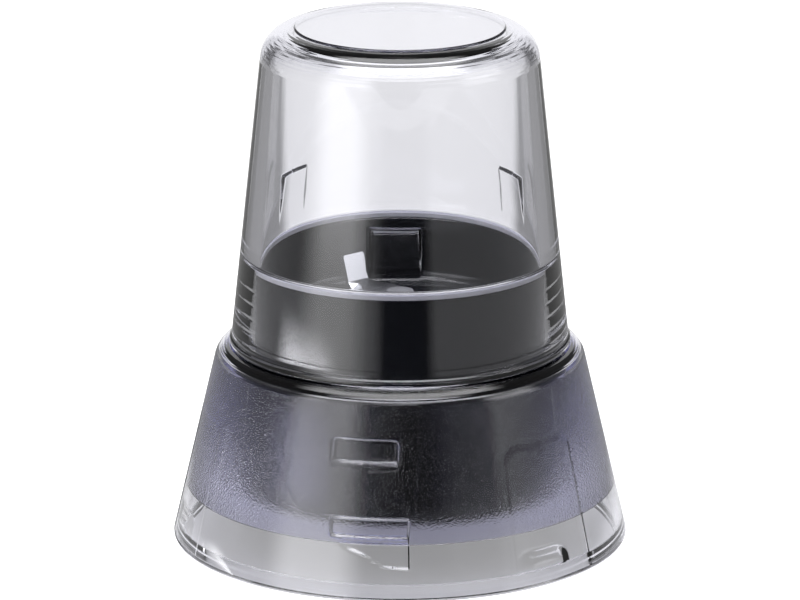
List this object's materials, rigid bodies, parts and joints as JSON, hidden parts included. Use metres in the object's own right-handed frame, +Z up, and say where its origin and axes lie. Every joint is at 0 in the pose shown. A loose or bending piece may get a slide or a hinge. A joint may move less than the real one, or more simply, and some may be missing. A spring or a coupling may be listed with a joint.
{
  "type": "blender dry-mill attachment",
  "caption": "Clear cup screwed mouth down on a dark bowl with a spinning cutter, over a clear flared skirt that seats on a blender's motor unit.",
  "frame": {"origin": "centre of the skirt's foot, on the surface that it stands on", "axes": "+Z up along the spindle, -Y towards the side with the front drive window"},
  "size_m": [0.1126, 0.1126, 0.129],
  "materials": {
    "clear_skirt": "clear styrene plastic, fine grain on the inside",
    "clear_cup": "clear polished styrene plastic",
    "dark_plastic": "dark grey moulded plastic, satin gloss",
    "soft_seal": "translucent grey silicone",
    "black_rubber": "black rubber",
    "polished_steel": "ground stainless steel",
    "plain_steel": "zinc-plated steel",
    "cast_alloy": "turned aluminium",
    "sintered_bronze": "oil-filled sintered bronze",
    "white_nylon": "white nylon",
    "black_nylon": "black moulded nylon"
  },
  "bodies": {
    "base": {"base_skirt": "clear_skirt", "blade_bowl": "dark_plastic", "drive_collar": "dark_plastic", "collar_screws": "plain_steel", "bearing_housing": "cast_alloy", "housing_gasket": "black_rubber", "nut_washer": "plain_steel", "housing_nut": "plain_steel", "upper_bush": "sintered_bronze", "lower_bush": "sintered_bronze", "shaft_seal": "black_rubber", "thrust_washer": "white_nylon"},
    "rotor": {"blade_shaft": "polished_steel", "seat_washer": "polished_steel", "cutter_blade": "polished_steel", "cap_washer": "polished_steel", "cap_screw": "polished_steel", "retaining_clip": "plain_steel", "drive_coupling": "black_nylon", "coupling_hub": "plain_steel"},
    "seal_ring": {"cup_seal": "soft_seal"},
    "cup": {"mill_cup": "clear_cup"}
  },
  "joints": [
    {"name": "blade_spin", "type": "hinge", "parent": "base", "child": "rotor", "pos_m": [0, 0, 0.045], "axis": [0, 0, 1], "continuous": true},
    {"name": "cup_lift", "type": "slide", "parent": "base", "child": "seal_ring", "axis": [0, 0, 1], "range_m": [0, 0.0211]},
    {"name": "cup_turn", "type": "hinge", "parent": "seal_ring", "child": "cup", "pos_m": [0, 0, 0.08], "axis": [0, 0, 1], "range_deg": [0, 720]}
  ],
  "couplings": [
    {"joint": "cup_lift", "follows": "cup_turn", "m_per_rad": 0.0016711}
  ]
}
